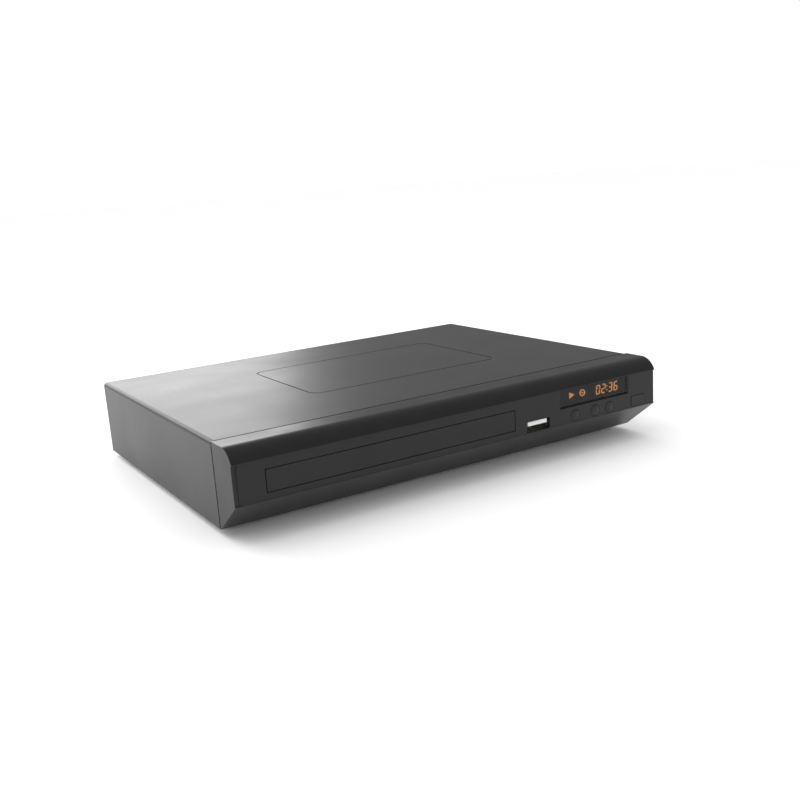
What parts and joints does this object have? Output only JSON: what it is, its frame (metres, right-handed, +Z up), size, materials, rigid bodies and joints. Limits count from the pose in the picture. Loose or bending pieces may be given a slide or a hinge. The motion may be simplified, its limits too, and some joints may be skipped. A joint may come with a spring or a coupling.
{
  "type": "disc player",
  "caption": "Slim black disc player with a motor-driven front tray, lit clock display, USB socket, front buttons and a rear row of sockets.",
  "frame": {"origin": "centre of the whole object's box on the plane of the feet", "axes": "+Z up, -Y out of the front face, +X to the right seen from the front"},
  "size_m": [0.225, 0.18, 0.04],
  "materials": {
    "zinc_steel": "zinc-coated sheet steel",
    "painted_cover": "satin black paint on sheet steel",
    "bezel_plastic": "fine-grained black plastic",
    "button_plastic": "black plastic",
    "foot_rubber": "black rubber",
    "smoked_window": "smoked clear plastic",
    "dark_plastic": "black moulded plastic",
    "display_light": "lit amber segments",
    "circuit_board": "green lacquered board",
    "power_board": "brown paper-based board",
    "white_plastic": "white acetal",
    "tray_plastic": "black moulded plastic",
    "socket_metal": "nickel-plated steel",
    "brass": "turned brass",
    "lens_glass": "coated lens",
    "transformer_tape": "yellow tape on a ferrite core",
    "capacitor_sleeve": "blue sleeve",
    "wire_sleeve": "vinyl sleeve",
    "ribbon_white": "white flat cable",
    "screw_black": "black zinc screws",
    "fuse_glass": "glass tube in metal clips"
  },
  "bodies": {
    "player": {"base_chassis": "zinc_steel", "top_cover": "painted_cover", "rear_panel": "painted_cover", "front_bezel": "bezel_plastic", "feet": "foot_rubber", "display_window": "smoked_window", "display_module": "dark_plastic", "display_segments": "display_light", "front_board": "circuit_board", "ir_receiver": "dark_plastic", "tact_switches": "dark_plastic", "usb_shell": "socket_metal", "usb_tongue": "white_plastic", "loader_frame": "dark_plastic", "clamp_bridge": "zinc_steel", "loading_motor": "socket_metal", "drive_belt": "foot_rubber", "main_board": "circuit_board", "board_chips": "dark_plastic", "power_board": "power_board", "transformer": "transformer_tape", "capacitors": "capacitor_sleeve", "mains_inlet": "dark_plastic", "hdmi_socket": "socket_metal", "jack_block": "dark_plastic", "jack_collars": "socket_metal", "mains_wires": "wire_sleeve", "ribbon_cables": "ribbon_white", "case_screws": "screw_black", "fuse": "fuse_glass"},
    "tray": {"tray": "tray_plastic", "tray_door": "bezel_plastic"},
    "open_close_button": {"open_close_button": "button_plastic", "open_close_plunger": "white_plastic"},
    "play_button": {"play_button": "button_plastic", "play_plunger": "white_plastic"},
    "stop_button": {"stop_button": "button_plastic", "stop_plunger": "white_plastic"},
    "power_button": {"power_button": "button_plastic", "power_plunger": "white_plastic"},
    "drive_gear": {"tray_drive_gear": "white_plastic"},
    "belt_pulley": {"pulley_gear": "white_plastic"},
    "motor_pulley": {"motor_pulley": "brass"},
    "cam": {"cam_slider": "white_plastic"},
    "traverse": {"lift_frame": "dark_plastic", "traverse_plate": "zinc_steel", "traverse_dampers": "foot_rubber", "damper_screws": "socket_metal", "spindle_motor": "socket_metal", "guide_rods": "socket_metal", "sled_motor": "socket_metal"},
    "spindle": {"turntable": "dark_plastic", "turntable_mat": "foot_rubber"},
    "sled": {"pickup_sled": "dark_plastic"},
    "lens": {"lens_holder": "dark_plastic", "objective_lens": "lens_glass"},
    "sled_gear": {"sled_gear": "white_plastic"},
    "sled_pinion": {"sled_motor_pinion": "brass"},
    "clamp": {"clamp_puck": "white_plastic", "clamp_magnet": "socket_metal"}
  },
  "joints": [
    {"name": "tray_slide", "type": "slide", "parent": "player", "child": "tray", "axis": [0, -1, 0], "range_m": [0, 0.127]},
    {"name": "drive_gear_spin", "type": "hinge", "parent": "player", "child": "drive_gear", "pos_m": [-0.0859, -0.0568, 0.018], "axis": [0, 0, 1], "range_deg": [0, 910.57]},
    {"name": "belt_pulley_spin", "type": "hinge", "parent": "player", "child": "belt_pulley", "pos_m": [-0.0706, -0.0568, 0.016], "axis": [0, 0, 1], "range_deg": [-2659.74, 0]},
    {"name": "motor_pulley_spin", "type": "hinge", "parent": "player", "child": "motor_pulley", "pos_m": [-0.0458, -0.0586, 0.018], "axis": [0, 0, 1], "range_deg": [-9572.48, 0]},
    {"name": "cam_slide", "type": "slide", "parent": "player", "child": "cam", "axis": [1, 0, 0], "range_m": [0, 0.0201]},
    {"name": "traverse_tilt", "type": "hinge", "parent": "player", "child": "traverse", "pos_m": [-0.0311, 0.0542, 0.0133], "axis": [1, 0, 0], "range_deg": [0, 2.81]},
    {"name": "spindle_spin", "type": "hinge", "parent": "traverse", "child": "spindle", "pos_m": [-0.0371, -0.0238, 0.02], "axis": [0, 0, 1], "continuous": true},
    {"name": "clamp_spin", "type": "hinge", "parent": "player", "child": "clamp", "pos_m": [-0.0371, -0.0238, 0.03], "axis": [0, 0, 1], "continuous": true},
    {"name": "sled_slide", "type": "slide", "parent": "traverse", "child": "sled", "axis": [0, 1, 0], "range_m": [0, 0.035]},
    {"name": "sled_gear_spin", "type": "hinge", "parent": "traverse", "child": "sled_gear", "pos_m": [-0.0121, 0.0102, 0.02], "axis": [0, 0, 1], "range_deg": [-502.34, 0]},
    {"name": "sled_pinion_spin", "type": "hinge", "parent": "traverse", "child": "sled_pinion", "pos_m": [-0.0041, 0.0102, 0.02], "axis": [0, 0, 1], "range_deg": [0, 1505.01]},
    {"name": "lens_focus", "type": "slide", "parent": "sled", "child": "lens", "axis": [0, 0, 1], "range_m": [-0.0006, 0.0006], "stiffness_N_per_m": 60},
    {"name": "open_close_press", "type": "slide", "parent": "player", "child": "open_close_button", "axis": [0, 1, 0], "range_m": [0, 0.0005], "stiffness_N_per_m": 900, "springref_m": -0.0004},
    {"name": "play_press", "type": "slide", "parent": "player", "child": "play_button", "axis": [0, 1, 0], "range_m": [0, 0.0005], "stiffness_N_per_m": 900, "springref_m": -0.0004},
    {"name": "stop_press", "type": "slide", "parent": "player", "child": "stop_button", "axis": [0, 1, 0], "range_m": [0, 0.0005], "stiffness_N_per_m": 900, "springref_m": -0.0004},
    {"name": "power_press", "type": "slide", "parent": "player", "child": "power_button", "axis": [0, 1, 0], "range_m": [0, 0.0005], "stiffness_N_per_m": 900, "springref_m": -0.0004}
  ],
  "couplings": [
    {"joint": "drive_gear_spin", "follows": "tray_slide", "rad_per_m": 125},
    {"joint": "belt_pulley_spin", "follows": "tray_slide", "rad_per_m": -365.38},
    {"joint": "motor_pulley_spin", "follows": "tray_slide", "rad_per_m": -1315.4},
    {"joint": "cam_slide", "follows": "tray_slide", "ratio": 0.15748},
    {"joint": "traverse_tilt", "follows": "tray_slide", "rad_per_m": 0.38444},
    {"joint": "clamp_spin", "follows": "spindle_spin", "ratio": 1},
    {"joint": "sled_gear_spin", "follows": "sled_slide", "rad_per_m": -250},
    {"joint": "sled_pinion_spin", "follows": "sled_slide", "rad_per_m": 750}
  ]
}
